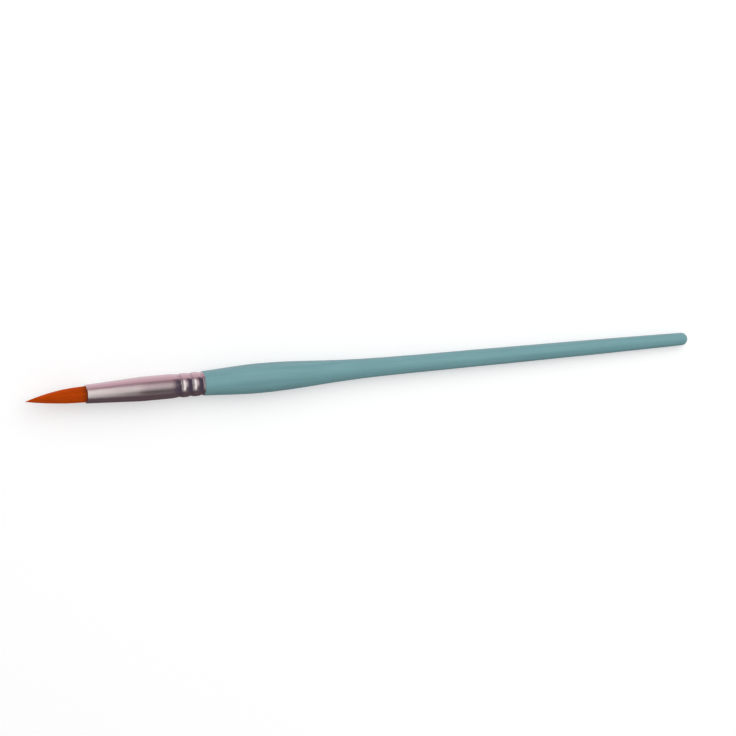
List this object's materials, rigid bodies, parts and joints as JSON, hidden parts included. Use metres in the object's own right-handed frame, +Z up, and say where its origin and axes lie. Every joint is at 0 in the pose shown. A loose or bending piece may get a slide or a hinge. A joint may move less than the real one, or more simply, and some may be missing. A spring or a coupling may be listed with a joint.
{
  "type": "fine detail brush",
  "caption": "Pointed round brush for fine detail, with a synthetic tuft, a crimped tapered metal ferrule and a slim lacquered wooden handle.",
  "frame": {"origin": "on the brush's axis, at the seat on the taper behind the belly where the rim of a holder takes the handle, 34.5 mm behind the ferrule", "axes": "+X along the brush's axis from the tuft's tip to the handle's tail, +Z up when the brush is laid level, +Y to the side; the brush is turned about +X"},
  "size_m": [0.175, 0.0074, 0.0072],
  "materials": {
    "lacquered_wood": "satin",
    "ferrule_metal": "satin",
    "filament": "satin",
    "thread": "matte",
    "resin": "gloss",
    "wood_glue": "gloss"
  },
  "bodies": {
    "root": {"handle": "lacquered_wood", "ferrule": "ferrule_metal", "tuft": "filament", "binding_thread": "thread", "root_resin": "resin", "handle_glue": "wood_glue"}
  },
  "joints": []
}
